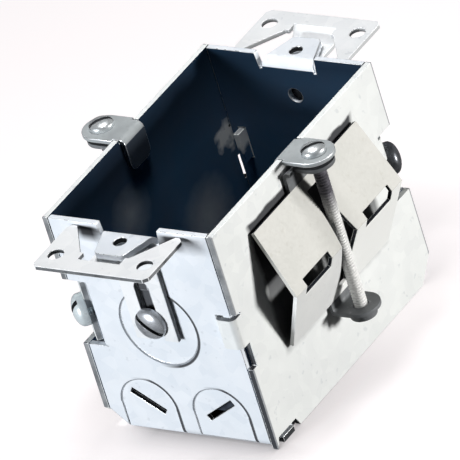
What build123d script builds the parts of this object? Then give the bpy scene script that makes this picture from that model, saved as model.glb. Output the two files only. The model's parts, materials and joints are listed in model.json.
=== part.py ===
import os
from math import cos, degrees, radians, sin, sqrt, tan

from build123d import *

os.makedirs("parts", exist_ok=True)

# A take-apart steel switch box: X across, Y along, Z out of the open front, origin under the back's centre.
# The box looks the same after half a turn about Z, so the left and near pieces are turned copies.

# Box, millimetres
box_width = 50.8
box_length = 76.2
box_depth = 63.5
sheet = 1.6
bend_radius = 1.0
seam = 0.2
contact = 0.05
thread_gap = 0.05

# Device tabs, bent out from the ends
device_spacing = 83.3
device_hole = 3.5
tab_drop = 1.7
tab_reach = 9.2
tab_base_width = 15.8
tab_tip_width = 8.4
tab_bend = 1.2
tab_relief = 0.6

# Knock-outs and pry-outs, partly sheared and pressed in
shear_depth = 0.4
knockout_radius = 11.1
knockout_height = 33.5
pryout_radius = 8.1
pryout_centre = 10.9
pryout_arch_height = 8.0
pryout_slot_length = 10.4
pryout_slot_width = 1.7
pryout_slot_height = 9.6
pryout_slot_tilt = 33

# Corner joint: a slanted lug on the body and a slotted ear on the panel under one screw
lug_inset = 7.2
lug_slope_run = 5.3
lug_screw_run = 3.1
lug_bottom = 25.6
lug_height = 19.2
ear_trim = 0.8
ear_slope_run = 4.4
ear_slot_gap = 0.25
corner_bend = 0.8
corner_clip = 6.0

# Corner hook of the panel, which wraps the end and drops into its slot
hook_bottom = 31.0
hook_height = 8.5
hook_reach = 6.0
hook_entry = 3.0
hook_slot_gap = 0.3
hook_bend = 0.15
hook_relief_height = 7.0
hook_relief_depth = 2.0
hook_relief_width = 0.7
locating_tab_width = 5.0
locating_tab_height = 2.6
locating_tab_inset = 5.6

# Screws of the box
box_screw_diameter = 4.0
box_screw_head = 8.6
box_screw_head_height = 2.4
screw_slot_width = 1.2
screw_slot_depth = 1.1
gang_screw_length = 4.6
gang_screw_head_height = 3.6

# Plaster ears
ear_sheet = 1.2
ear_drop = 0.9
ear_width = 34.4
ear_reach = 18.0
ear_wall_gap = 0.3
ear_notch_wall_width = 30.0
ear_notch_tip_width = 14.6
ear_notch_gap = 1.2
ear_strap_width = 12.6
ear_strap_drop = 3.2
ear_step_run = 2.8
ear_bend = 0.8
ear_nail_hole = 4.2
ear_nail_spacing = 26.6
ear_nail_reach = 12.4
ear_screw_height = 36.2
ear_travel = 10.0
ear_prong_length = 5.4
ear_screw_length = 5.0
ear_spare_hole_height = 51.7

# Side grips
grip_sheet = 1.1
grip_wall_gap = 0.3
grip_screw_diameter = 3.5
grip_screw_head = 6.4
grip_screw_head_height = 2.2
grip_screw_offset = 6.5
grip_screw_gap = 0.2
grip_bend = 0.7
strap_width = 8.8
strap_tab_radius = 5.3
strap_hang = 9.5
strap_rim_gap = 0.1
collar_drop = 2.4
collar_radius = 4.6
collar_shoulder = 0.6
neck_width = 14.0
top_fold_drop = 8.0
leg_length = 18.75
leg_tilt = 24.6
fold_gap = 0.1
wing_span = 50.4
bridge_height = 3.0
gap_narrow_width = 4.3
gap_curve_share = 0.17
gap_fold_width = 7.4
fold_slot_near = 8.4
fold_slot_far = 20.3
fold_slot_upper = 2.1
fold_slot_lower = 3.1
upper_wing_taper = 1.0
lower_wing_taper = 2.6
foot_drop = 2.4
foot_radius = 5.0
nut_diameter = 7.0
nut_height = 2.2
screw_tail = 1.0

# Cable clamps inside
clamp_sheet = 1.4
clamp_width = 38.0
clamp_height = 9.0
clamp_depth = 10.5
clamp_wall_gap = 2.0
clamp_tooth_drop = 2.2
clamp_tooth_width = 13.0
clamp_hole_gap = 0.3
clamp_screw_reach = 5.5
clamp_flange_diameter = 6.6
clamp_flange_height = 2.4
clamp_tip_height = 0.3

# Places that several pieces share
half_width = box_width / 2
half_length = box_length / 2
wall_inside = half_length - sheet
body_half_width = half_width - sheet - seam
near_face = Plane((0, -half_length, 0), x_dir=(1, 0, 0), z_dir=(0, -1, 0))
far_face = Plane((0, half_length, 0), x_dir=(-1, 0, 0), z_dir=(0, 1, 0))
end_faces = (near_face, far_face)
half_turn = (0, 0, 180)

tab_top = box_depth - tab_drop
tab_bend_start = tab_top - sheet - tab_bend
tab_root = tab_bend_start - sheet

lug_root = half_width - lug_inset
lug_middle = lug_bottom + lug_height / 2
ear_fold = lug_root + half_length + (sheet + contact) * sqrt(2) - half_width
screw_sideways = lug_root + 2 * lug_screw_run - half_length
ear_face_sum = half_width + ear_fold
gang_seat = ((ear_face_sum + screw_sideways) / 2, (ear_face_sum - screw_sideways) / 2, lug_middle)
gang_plane = Plane(gang_seat, x_dir=(0, 0, 1), z_dir=(1, 1, 0))

hook_middle = hook_bottom + hook_height / 2
locating_tab_middle = (half_width + body_half_width - sheet) / 2
hook_face = half_length + contact + sheet
hook_inner = half_width - hook_reach

ear_top = box_depth - ear_drop
ear_notch_reach = tab_reach + ear_notch_gap
ear_strap_top = ear_top - ear_strap_drop
ear_leg_face = half_length + ear_wall_gap
ear_slot_top = ear_screw_height + ear_travel
ear_leg_bottom = ear_screw_height - ear_prong_length

grip_axis = half_width + grip_screw_offset
grip_face = half_width + grip_wall_gap
grip_screw_radius = grip_screw_diameter / 2
top_fold = box_depth - top_fold_drop
tilt = radians(leg_tilt)
top_pivot = (grip_face + grip_sheet, top_fold)
middle_pivot = (
    top_pivot[0] - grip_sheet * cos(tilt) + leg_length * sin(tilt),
    top_pivot[1] - grip_sheet * sin(tilt) - leg_length * cos(tilt),
)
bottom_pivot = (top_pivot[0], 2 * middle_pivot[1] - top_pivot[1])
foot_base = bottom_pivot[1] - foot_drop - grip_sheet
collar_top = box_depth - collar_drop

clamp_back_edge = wall_inside - clamp_wall_gap
clamp_axis = clamp_back_edge - clamp_screw_reach
clamp_top = sheet + clamp_height


def slotted_screw(seat, head_diameter, head_height, shank_diameter, shank_length, slot_turn):
    """A flat head with a straight slot on a plain shank; seat's Z points out of the head."""
    with BuildPart(seat) as screw:
        Cylinder(head_diameter / 2, head_height, align=(Align.CENTER, Align.CENTER, Align.MIN))
        with Locations((0, 0, head_height)):
            Box(
                head_diameter,
                screw_slot_width,
                2 * screw_slot_depth,
                rotation=(0, 0, slot_turn),
                mode=Mode.SUBTRACT,
            )
        Cylinder(shank_diameter / 2, shank_length, align=(Align.CENTER, Align.CENTER, Align.MAX))
    return screw.part


# Device tab of the far end: a strip bent out of the wall, tapered in plan
with BuildPart() as device_tab:
    with BuildSketch(Plane.YZ) as tab_section:
        with BuildLine() as tab_line:
            FilletPolyline(
                (wall_inside, tab_root),
                (wall_inside, tab_top),
                (half_length + tab_reach, tab_top),
                radius=tab_bend + sheet,
            )
            offset(amount=sheet, side=Side.RIGHT)
        make_face()
    extrude(amount=tab_base_width / 2, both=True)
    with BuildSketch(Plane.XY.offset(tab_root)) as tab_plan:
        with BuildLine() as tab_outline:
            Polyline(
                (-tab_base_width / 2, wall_inside),
                (tab_base_width / 2, wall_inside),
                (tab_tip_width / 2, half_length + tab_reach),
                (-tab_tip_width / 2, half_length + tab_reach),
                close=True,
            )
        make_face()
    extrude(amount=box_depth - tab_root, mode=Mode.INTERSECT)
    tip_edges = device_tab.edges().filter_by(Axis.Z).group_by(Axis.Y)[-1]
    fillet(tip_edges, sheet)
    with BuildSketch(Plane.XY.offset(tab_top)) as device_holes:
        with Locations((0, device_spacing / 2)):
            Circle(device_hole / 2)
    extrude(amount=-2 * sheet, mode=Mode.SUBTRACT)

# Slanted lug at the far right corner, threaded for the gang screw
with BuildPart() as gang_lug:
    with BuildSketch(Plane.XY.offset(lug_bottom)) as lug_section:
        with BuildLine() as lug_line:
            FilletPolyline(
                (lug_root - 3 * sheet, half_length),
                (lug_root, half_length),
                (lug_root + lug_slope_run, half_length - lug_slope_run),
                radius=corner_bend + sheet,
            )
            offset(amount=sheet, side=Side.RIGHT)
        make_face()
    extrude(amount=lug_height)
    with BuildSketch(gang_plane) as lug_hole:
        Circle(box_screw_diameter / 2 + thread_gap)
    extrude(amount=-4 * sheet, mode=Mode.SUBTRACT)

with BuildPart() as box_body:
    # Back and two ends, folded from one sheet
    with BuildSketch(Plane.YZ) as fold:
        with BuildLine() as fold_line:
            FilletPolyline(
                (-half_length, box_depth),
                (-half_length, 0),
                (half_length, 0),
                (half_length, box_depth),
                radius=bend_radius + sheet,
            )
            offset(amount=sheet, side=Side.LEFT)
        make_face()
    extrude(amount=body_half_width, both=True)
    # Rim notches behind the device tabs
    with BuildSketch(Plane.XZ) as rim_notch:
        with BuildLine() as rim_notch_line:
            Polyline(
                (-tab_base_width / 2 - 2 * tab_relief, box_depth + 1),
                (tab_base_width / 2 + 2 * tab_relief, box_depth + 1),
                (tab_base_width / 2 + tab_relief, tab_bend_start),
                (-tab_base_width / 2 - tab_relief, tab_bend_start),
                close=True,
            )
        make_face()
    extrude(amount=half_length + 1, both=True, mode=Mode.SUBTRACT)
    # Openings of the ends, seen from outside: lug notch on the left, hook slot on the right
    with BuildSketch(*end_faces) as end_openings:
        with Locations((-body_half_width - sheet, lug_bottom)):
            Rectangle(
                body_half_width + sheet - lug_root + 1.2 * corner_bend,
                lug_height,
                align=(Align.MIN, Align.MIN),
            )
        with Locations((hook_inner + sheet / 2, hook_middle)):
            Rectangle(sheet + 2 * hook_slot_gap, hook_height + 2 * hook_slot_gap)
        with Locations((0, ear_screw_height)):
            Circle(box_screw_diameter / 2 + thread_gap)
        with Locations((0, ear_spare_hole_height)):
            Circle(box_screw_diameter / 2 + thread_gap)
        with Locations((-pryout_centre, pryout_slot_height)):
            Rectangle(pryout_slot_length, pryout_slot_width, rotation=-pryout_slot_tilt)
        with Locations((pryout_centre, pryout_slot_height)):
            Rectangle(pryout_slot_length, pryout_slot_width, rotation=pryout_slot_tilt)
    extrude(amount=-3 * sheet, mode=Mode.SUBTRACT)
    # A round knock-out above two arched pry-outs in each end, and a knock-out in the back
    with BuildSketch(*end_faces) as end_shears:
        with Locations((0, knockout_height)):
            Circle(knockout_radius)
        with Locations((-pryout_centre, pryout_arch_height), (pryout_centre, pryout_arch_height)):
            Circle(pryout_radius)
            Rectangle(2 * pryout_radius, pryout_arch_height, align=(Align.CENTER, Align.MAX))
    extrude(amount=-shear_depth, mode=Mode.SUBTRACT)
    with BuildSketch(Plane.XY) as back_shear:
        Circle(knockout_radius)
    extrude(amount=shear_depth, mode=Mode.SUBTRACT)
    # Threaded flanges for the clamp screws
    with BuildSketch(Plane.XY.offset(sheet)) as flanges:
        with Locations((0, clamp_axis), (0, -clamp_axis)):
            Circle(clamp_flange_diameter / 2)
    extrude(amount=clamp_flange_height)
    with BuildSketch(Plane.XY) as flange_holes:
        with Locations((0, clamp_axis), (0, -clamp_axis)):
            Circle(box_screw_diameter / 2 + thread_gap)
    extrude(amount=sheet + clamp_flange_height, mode=Mode.SUBTRACT)
    # Clipped corners below the gang screws, cut square to the corner's diagonal
    for clip_turn in (0, 180):
        corner = Vector(body_half_width, half_length, 0).rotate(Axis.Z, clip_turn)
        inwards = Vector(-1, -1, 1).rotate(Axis.Z, clip_turn)
        clip_plane = Plane(corner + inwards * (corner_clip / 3), z_dir=-inwards)
        with BuildSketch(clip_plane) as clip:
            Circle(3 * corner_clip)
        extrude(amount=2 * corner_clip, mode=Mode.SUBTRACT)
    add(device_tab.part)
    add(device_tab.part, rotation=half_turn)
    add(gang_lug.part)
    add(gang_lug.part, rotation=half_turn)
    # Locating tabs of the back, which stand in notches of the panels
    with BuildSketch(Plane.XY) as locating_tabs:
        for side in (1, -1):
            with Locations((side * locating_tab_middle, -side * (half_length - locating_tab_inset))):
                Rectangle(half_width - body_half_width + sheet, locating_tab_width)
    extrude(amount=sheet)
box_body.part.label = "box_body"
export_step(box_body.part, "parts/box_body.step")

with BuildPart() as right_side_panel:
    with BuildSketch(Plane.YZ.offset(half_width - sheet)) as panel_outline:
        with Locations((0, box_depth / 2)):
            Rectangle(box_length, box_depth)
        # Clipped corner at the screw end
        with BuildLine() as clipped_corner:
            Polyline(
                (half_length, 0),
                (half_length, corner_clip),
                (half_length - corner_clip, 0),
                close=True,
            )
        make_face(mode=Mode.SUBTRACT)
        # Notch for the locating tab at the hook end
        with Locations((-half_length + locating_tab_inset, 0)):
            Trapezoid(
                locating_tab_width + 3 * locating_tab_height,
                2 * locating_tab_height,
                65,
                mode=Mode.SUBTRACT,
            )
        # Room for the slotted ear, reliefs beside the hook and the notch under the grip strap
        with Locations((half_length, lug_bottom)):
            Rectangle(
                half_length - ear_fold + 1.5 * corner_bend,
                lug_height,
                align=(Align.MAX, Align.MIN),
                mode=Mode.SUBTRACT,
            )
        with Locations((-half_length, hook_bottom)):
            Rectangle(
                hook_relief_depth,
                hook_relief_height,
                align=(Align.MIN, Align.MAX),
                mode=Mode.SUBTRACT,
            )
        with Locations((-half_length, hook_bottom + hook_height)):
            Rectangle(hook_relief_depth, hook_relief_width, align=(Align.MIN, Align.MIN), mode=Mode.SUBTRACT)
        with Locations((0, box_depth)):
            Rectangle(
                strap_width + 2 * grip_wall_gap,
                2 * (grip_sheet + strap_rim_gap),
                mode=Mode.SUBTRACT,
            )
    extrude(amount=sheet)
    # Slotted ear, bent across the far corner under the gang screw
    with BuildSketch(Plane.XY.offset(lug_bottom + ear_trim)) as ear_section:
        with BuildLine() as ear_line:
            FilletPolyline(
                (half_width, ear_fold - 3 * sheet),
                (half_width, ear_fold),
                (half_width - ear_slope_run, ear_fold + ear_slope_run),
                radius=corner_bend + sheet,
            )
            offset(amount=sheet, side=Side.LEFT)
        make_face()
    extrude(amount=lug_height - 2 * ear_trim)
    with BuildSketch(gang_plane) as ear_slot:
        Circle(box_screw_diameter / 2 + ear_slot_gap)
        Rectangle(
            box_screw_diameter + 2 * ear_slot_gap,
            lug_inset,
            align=(Align.CENTER, Align.MIN),
        )
    extrude(amount=-1.2 * sheet, both=True, mode=Mode.SUBTRACT)
    # Hook, wrapped round the near end and dropped into its slot
    with BuildSketch(Plane.XY.offset(hook_bottom)) as hook_section:
        with BuildLine() as hook_line:
            FilletPolyline(
                (half_width, -half_length + 2 * sheet),
                (half_width, -hook_face),
                (hook_inner, -hook_face),
                (hook_inner, -wall_inside + hook_entry),
                radius=hook_bend + sheet,
            )
            offset(amount=sheet, side=Side.RIGHT)
        make_face()
    extrude(amount=hook_height)
right_side_panel.part.label = "right_side_panel"
export_step(right_side_panel.part, "parts/right_side_panel.step")

with BuildPart() as left_side_panel:
    add(right_side_panel.part, rotation=half_turn)
left_side_panel.part.label = "left_side_panel"
export_step(left_side_panel.part, "parts/left_side_panel.step")

# Gang screws, square to the slanted ears
with BuildPart() as far_gang_screw:
    add(
        slotted_screw(
            gang_plane.offset(contact),
            box_screw_head,
            gang_screw_head_height,
            box_screw_diameter,
            gang_screw_length,
            20,
        )
    )
far_gang_screw.part.label = "far_gang_screw"
export_step(far_gang_screw.part, "parts/far_gang_screw.step")

with BuildPart() as near_gang_screw:
    add(far_gang_screw.part, rotation=half_turn)
near_gang_screw.part.label = "near_gang_screw"
export_step(near_gang_screw.part, "parts/near_gang_screw.step")

with BuildPart() as far_ear:
    # Plate, notched round the device tab
    with BuildSketch(Plane.XY.offset(ear_top - ear_sheet)) as ear_plate:
        with Locations((0, ear_leg_face)):
            Rectangle(ear_width, ear_reach - ear_wall_gap, align=(Align.CENTER, Align.MIN))
        chamfer(ear_plate.vertices(), ear_sheet)
        with BuildLine() as notch_line:
            Polyline(
                (-ear_notch_wall_width / 2, half_length),
                (ear_notch_wall_width / 2, half_length),
                (ear_notch_tip_width / 2, half_length + ear_notch_reach),
                (-ear_notch_tip_width / 2, half_length + ear_notch_reach),
                close=True,
            )
        make_face(mode=Mode.SUBTRACT)
        with Locations((0, half_length + ear_notch_reach)):
            Rectangle(ear_strap_width, 2 * ear_step_run, mode=Mode.SUBTRACT)
        with Locations((0, half_length + ear_nail_reach)):
            with GridLocations(ear_nail_spacing, 0, 2, 1):
                Circle(ear_nail_hole / 2, mode=Mode.SUBTRACT)
    extrude(amount=ear_sheet)
    # Strap that steps down, passes under the tab and turns down the wall
    with BuildSketch(Plane.YZ) as ear_strap:
        with BuildLine() as strap_line:
            FilletPolyline(
                (half_length + ear_notch_reach + ear_step_run + 2 * ear_sheet, ear_top),
                (half_length + ear_notch_reach + ear_step_run, ear_top),
                (half_length + ear_notch_reach, ear_strap_top),
                (ear_leg_face, ear_strap_top),
                (ear_leg_face, ear_leg_bottom),
                radius=[ear_bend + ear_sheet, ear_bend, ear_bend + ear_sheet],
            )
            offset(amount=ear_sheet, side=Side.LEFT)
        make_face()
    extrude(amount=ear_strap_width / 2, both=True)
    # Open slot for the ear screw, with rounded prongs
    with BuildSketch(far_face) as ear_slot_cut:
        with Locations((0, ear_slot_top)):
            Circle(box_screw_diameter / 2 + ear_slot_gap)
            Rectangle(
                box_screw_diameter + 2 * ear_slot_gap,
                ear_slot_top,
                align=(Align.CENTER, Align.MAX),
            )
    extrude(amount=3 * ear_sheet, mode=Mode.SUBTRACT)
far_ear.part.label = "far_ear"
export_step(far_ear.part, "parts/far_ear.step")

with BuildPart() as near_ear:
    add(far_ear.part, rotation=half_turn)
near_ear.part.label = "near_ear"
export_step(near_ear.part, "parts/near_ear.step")

ear_seat = far_face.offset(ear_wall_gap + ear_sheet + contact)
ear_seat.origin = ear_seat.origin + Vector(0, 0, ear_screw_height)
with BuildPart() as far_ear_screw:
    add(
        slotted_screw(
            ear_seat,
            box_screw_head,
            box_screw_head_height,
            box_screw_diameter,
            ear_screw_length,
            35,
        )
    )
far_ear_screw.part.label = "far_ear_screw"
export_step(far_ear_screw.part, "parts/far_ear_screw.step")

with BuildPart() as near_ear_screw:
    add(far_ear_screw.part, rotation=half_turn)
near_ear_screw.part.label = "near_ear_screw"
export_step(near_ear_screw.part, "parts/near_ear_screw.step")

with BuildPart() as right_grip_strap:
    # Strap over the rim, inside leg and round-ended tab for the screw head
    with BuildSketch(Plane.XZ) as strap_section:
        with BuildLine() as grip_strap_line:
            FilletPolyline(
                (half_width - sheet - grip_wall_gap - grip_sheet, box_depth - strap_hang),
                (half_width - sheet - grip_wall_gap - grip_sheet, box_depth),
                (grip_axis, box_depth),
                radius=grip_bend + grip_sheet,
            )
            offset(amount=grip_sheet, side=Side.RIGHT)
        make_face()
    extrude(amount=strap_width / 2, both=True)
    strap_corners = right_grip_strap.edges().filter_by(Axis.X).group_by(Axis.Z)[0]
    fillet(strap_corners, strap_width / 4)
    with BuildSketch(Plane.XY.offset(box_depth - grip_sheet)) as strap_tab:
        with Locations((grip_axis, 0)):
            Circle(strap_tab_radius)
            Rectangle(
                grip_screw_offset - grip_wall_gap,
                2 * strap_tab_radius,
                align=(Align.MAX, Align.CENTER),
            )
    extrude(amount=grip_sheet)
    with BuildSketch(Plane.XY.offset(box_depth)) as strap_hole:
        with Locations((grip_axis, 0)):
            Circle(grip_screw_radius + grip_screw_gap)
    extrude(amount=-2 * grip_sheet, mode=Mode.SUBTRACT)
right_grip_strap.part.label = "right_grip_strap"
export_step(right_grip_strap.part, "parts/right_grip_strap.step")

with BuildPart() as right_grip_collar:
    # Collar round the screw, turned down into the neck that carries the legs
    with BuildSketch(Plane.XZ) as collar_section:
        with BuildLine() as collar_line:
            FilletPolyline(
                (grip_axis, collar_top),
                (grip_face, collar_top),
                (grip_face, top_fold + fold_gap),
                radius=grip_bend + grip_sheet,
            )
            offset(amount=grip_sheet, side=Side.LEFT)
        make_face()
    extrude(amount=neck_width / 2, both=True)
    # Shoulders clear of the bend, and a round end
    with BuildSketch(Plane.XY.offset(collar_top)) as collar_corners:
        with Locations((grip_face + grip_bend + grip_sheet + collar_shoulder, 0)):
            Rectangle(2 * collar_radius, neck_width, align=(Align.MIN, Align.CENTER))
            Rectangle(2 * collar_radius, 2 * collar_radius, align=(Align.MIN, Align.CENTER), mode=Mode.SUBTRACT)
    extrude(amount=-grip_sheet, mode=Mode.SUBTRACT)
    with BuildSketch(Plane.XY.offset(collar_top)) as collar_plan:
        with Locations((grip_axis, 0)):
            Circle(collar_radius)
    extrude(amount=-grip_sheet)
    with BuildSketch(Plane.XY.offset(collar_top)) as collar_hole:
        with Locations((grip_axis, 0)):
            Circle(grip_screw_radius + grip_screw_gap)
    extrude(amount=-2 * grip_sheet, mode=Mode.SUBTRACT)
right_grip_collar.part.label = "right_grip_collar"
export_step(right_grip_collar.part, "parts/right_grip_collar.step")

# Planes of the legs' outer faces: X along the fold lines, Y from the end fold to the middle fold
upper_leg_face = Plane(
    (top_pivot[0], 0, top_pivot[1]), x_dir=(0, -1, 0), z_dir=(cos(tilt), 0, sin(tilt))
)
lower_leg_face = Plane(
    (bottom_pivot[0], 0, bottom_pivot[1]), x_dir=(0, 1, 0), z_dir=(cos(tilt), 0, -sin(tilt))
)
leg_face_length = leg_length + grip_sheet * tan(tilt)
gap_middle_width = gap_narrow_width + gap_curve_share * (gap_fold_width - gap_narrow_width)


def grip_legs(leg_face, pivot, fold_height, slot_depth, taper):
    """Two wings on one bridge, mitred at the middle fold, with a gap for the screw and a slot in each fold."""
    towards = 1 if fold_height > pivot[1] else -1
    fold_edge = fold_height - towards * fold_gap / 2
    rise = abs(fold_edge - pivot[1])
    inner_top = (pivot[0] - grip_sheet * cos(tilt), pivot[1] + towards * grip_sheet * sin(tilt))
    inner_rise = abs(fold_edge - inner_top[1])
    with BuildPart() as legs:
        with BuildSketch(Plane.XZ) as leg_section:
            with BuildLine() as leg_line:
                Polyline(
                    pivot,
                    inner_top,
                    (inner_top[0] + inner_rise * tan(tilt), fold_edge),
                    (pivot[0] + rise * tan(tilt), fold_edge),
                    close=True,
                )
            make_face()
        extrude(amount=wing_span / 2, both=True)
        with BuildSketch(leg_face) as leg_openings:
            with BuildLine() as gap_line:
                for side in (1, -1):
                    ThreePointArc(
                        (side * gap_narrow_width / 2, bridge_height),
                        (side * gap_middle_width / 2, (bridge_height + leg_face_length) / 2),
                        (side * gap_fold_width / 2, leg_face_length),
                    )
                Line((-gap_narrow_width / 2, bridge_height), (gap_narrow_width / 2, bridge_height))
                Polyline(
                    (gap_fold_width / 2, leg_face_length),
                    (gap_fold_width / 2, 2 * leg_length),
                    (-gap_fold_width / 2, 2 * leg_length),
                    (-gap_fold_width / 2, leg_face_length),
                )
            make_face()
            for side in (1, -1):
                with Locations((side * (fold_slot_near + fold_slot_far) / 2, leg_face_length)):
                    Rectangle(fold_slot_far - fold_slot_near, 2 * slot_depth)
                with BuildLine() as taper_line:
                    Polyline(
                        (side * wing_span / 2, leg_face_length),
                        (side * wing_span, leg_face_length),
                        (side * wing_span, -2 * grip_sheet),
                        (side * (wing_span / 2 - taper), -2 * grip_sheet),
                        close=True,
                    )
                make_face()
        extrude(amount=-4 * grip_sheet, both=True, mode=Mode.SUBTRACT)
    return legs.part


with BuildPart() as right_grip_upper_legs:
    add(grip_legs(upper_leg_face, top_pivot, middle_pivot[1], fold_slot_upper, upper_wing_taper))
right_grip_upper_legs.part.label = "right_grip_upper_legs"
export_step(right_grip_upper_legs.part, "parts/right_grip_upper_legs.step")

with BuildPart() as right_grip_lower_legs:
    add(grip_legs(lower_leg_face, bottom_pivot, middle_pivot[1], fold_slot_lower, lower_wing_taper))
right_grip_lower_legs.part.label = "right_grip_lower_legs"
export_step(right_grip_lower_legs.part, "parts/right_grip_lower_legs.step")

with BuildPart() as right_grip_foot:
    # Foot under the legs, with the drawn nut that rides on the screw
    with BuildSketch(Plane.XZ) as foot_section:
        with BuildLine() as foot_line:
            FilletPolyline(
                (grip_face, bottom_pivot[1] - fold_gap),
                (grip_face, foot_base),
                (grip_axis, foot_base),
                radius=grip_bend + grip_sheet,
            )
            offset(amount=grip_sheet, side=Side.LEFT)
        make_face()
    extrude(amount=foot_radius, both=True)
    with BuildSketch(Plane.XY.offset(foot_base)) as foot_plan:
        with Locations((grip_axis, 0)):
            Circle(foot_radius)
    extrude(amount=grip_sheet)
    with BuildSketch(Plane.XY.offset(foot_base)) as nut:
        with Locations((grip_axis, 0)):
            Circle(nut_diameter / 2)
    extrude(amount=-nut_height)
    with BuildSketch(Plane.XY.offset(foot_base - nut_height)) as nut_hole:
        with Locations((grip_axis, 0)):
            Circle(grip_screw_radius + grip_screw_gap)
    extrude(amount=nut_height + 2 * grip_sheet, mode=Mode.SUBTRACT)
right_grip_foot.part.label = "right_grip_foot"
export_step(right_grip_foot.part, "parts/right_grip_foot.step")

grip_seat = Plane((grip_axis, 0, box_depth + contact))
with BuildPart() as right_grip_screw:
    add(
        slotted_screw(
            grip_seat,
            grip_screw_head,
            grip_screw_head_height,
            grip_screw_diameter,
            box_depth - foot_base + nut_height + screw_tail,
            50,
        )
    )
right_grip_screw.part.label = "right_grip_screw"
export_step(right_grip_screw.part, "parts/right_grip_screw.step")

# Left grip: the right one after half a turn
for right_piece in (
    right_grip_strap,
    right_grip_collar,
    right_grip_upper_legs,
    right_grip_lower_legs,
    right_grip_foot,
    right_grip_screw,
):
    with BuildPart() as left_piece:
        add(right_piece.part, rotation=half_turn)
    left_name = right_piece.part.label.replace("right", "left")
    left_piece.part.label = left_name
    export_step(left_piece.part, f"parts/{left_name}.step")

with BuildPart() as far_clamp:
    # Plate over the pry-outs with a lip that stands on the back
    with BuildSketch(Plane.YZ) as clamp_section:
        with BuildLine() as clamp_line:
            FilletPolyline(
                (clamp_back_edge, clamp_top),
                (clamp_back_edge - clamp_depth, clamp_top),
                (clamp_back_edge - clamp_depth, sheet + contact),
                radius=bend_radius + clamp_sheet,
            )
            offset(amount=clamp_sheet, side=Side.LEFT)
        make_face()
    extrude(amount=clamp_width / 2, both=True)
    # Teeth turned down towards the cables
    with BuildSketch(Plane.XY.offset(clamp_top)) as teeth:
        with Locations((-pryout_centre, clamp_back_edge), (pryout_centre, clamp_back_edge)):
            Rectangle(clamp_tooth_width, clamp_sheet, align=(Align.CENTER, Align.MAX))
    extrude(amount=-clamp_sheet - clamp_tooth_drop)
    with BuildSketch(Plane.XY.offset(clamp_top)) as clamp_hole:
        with Locations((0, clamp_axis)):
            Circle(box_screw_diameter / 2 + clamp_hole_gap)
    extrude(amount=-2 * clamp_sheet, mode=Mode.SUBTRACT)
    lip_corners = far_clamp.edges().filter_by(Axis.Y).group_by(Axis.Z)[0]
    chamfer(lip_corners, clamp_sheet)
far_clamp.part.label = "far_clamp"
export_step(far_clamp.part, "parts/far_clamp.step")

with BuildPart() as near_clamp:
    add(far_clamp.part, rotation=half_turn)
near_clamp.part.label = "near_clamp"
export_step(near_clamp.part, "parts/near_clamp.step")

clamp_seat = Plane((0, clamp_axis, clamp_top + contact))
with BuildPart() as far_clamp_screw:
    add(
        slotted_screw(
            clamp_seat,
            box_screw_head,
            box_screw_head_height,
            box_screw_diameter,
            clamp_top + contact - clamp_tip_height,
            15,
        )
    )
far_clamp_screw.part.label = "far_clamp_screw"
export_step(far_clamp_screw.part, "parts/far_clamp_screw.step")

with BuildPart() as near_clamp_screw:
    add(far_clamp_screw.part, rotation=half_turn)
near_clamp_screw.part.label = "near_clamp_screw"
export_step(near_clamp_screw.part, "parts/near_clamp_screw.step")

print("top fold", top_pivot, "middle fold", middle_pivot, "bottom fold", bottom_pivot)
print("leg tilt", degrees(tilt), "foot base", foot_base)
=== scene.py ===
import json
import math

import bpy
from mathutils import Matrix, Vector


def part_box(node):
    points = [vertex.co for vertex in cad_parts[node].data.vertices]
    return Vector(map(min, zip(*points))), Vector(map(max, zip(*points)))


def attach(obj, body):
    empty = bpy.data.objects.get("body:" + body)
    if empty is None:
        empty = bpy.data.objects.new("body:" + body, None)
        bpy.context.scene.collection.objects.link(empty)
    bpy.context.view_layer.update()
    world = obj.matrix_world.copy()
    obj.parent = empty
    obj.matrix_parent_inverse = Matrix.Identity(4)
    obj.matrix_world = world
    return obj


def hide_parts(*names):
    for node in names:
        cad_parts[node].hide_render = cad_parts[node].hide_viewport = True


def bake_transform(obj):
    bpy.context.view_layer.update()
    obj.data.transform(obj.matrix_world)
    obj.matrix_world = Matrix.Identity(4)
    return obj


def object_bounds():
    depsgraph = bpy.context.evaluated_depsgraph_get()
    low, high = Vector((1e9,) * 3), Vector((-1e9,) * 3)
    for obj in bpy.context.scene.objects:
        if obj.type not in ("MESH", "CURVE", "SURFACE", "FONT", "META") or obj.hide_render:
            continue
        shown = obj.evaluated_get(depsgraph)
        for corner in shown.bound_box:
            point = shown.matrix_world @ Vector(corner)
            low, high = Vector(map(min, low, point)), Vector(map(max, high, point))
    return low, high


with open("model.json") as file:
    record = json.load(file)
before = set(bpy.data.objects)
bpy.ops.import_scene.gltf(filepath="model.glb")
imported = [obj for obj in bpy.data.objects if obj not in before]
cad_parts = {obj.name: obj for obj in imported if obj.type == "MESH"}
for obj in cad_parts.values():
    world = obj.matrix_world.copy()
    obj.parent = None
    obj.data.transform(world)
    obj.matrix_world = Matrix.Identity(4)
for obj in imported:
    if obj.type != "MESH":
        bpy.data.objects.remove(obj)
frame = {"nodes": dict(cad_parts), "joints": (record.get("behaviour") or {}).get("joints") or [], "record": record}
cadLow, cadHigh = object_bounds()
mm = 0.001
nodes = frame["nodes"]
behaviour = frame["record"]["behaviour"]
bodyOf = {node: body for body, members in behaviour["bodies"].items() for node in members}
jointOf = {joint["name"]: joint for joint in frame["joints"]}
sides = {"right": 1, "left": -1}  # the left and near pieces are the right and far ones after half a turn
ends = {"far": 1, "near": -1}

# Walls of the box, which the painted finishes and the cut edges go by
boxSheet = 1.6 * mm
maskReach = 0.06 * mm  # a mask ends this far inside the sheet, clear of the wall's own face
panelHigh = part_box("right_side_panel")[1]
endFace = panelHigh.y  # outer face of the end walls
endInner = endFace - boxSheet + maskReach
sideInner = panelHigh.x - boxSheet + maskReach
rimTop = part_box("box_body")[1].z
legLean = math.radians(24.6)  # of a grip's legs from upright, at rest


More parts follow.
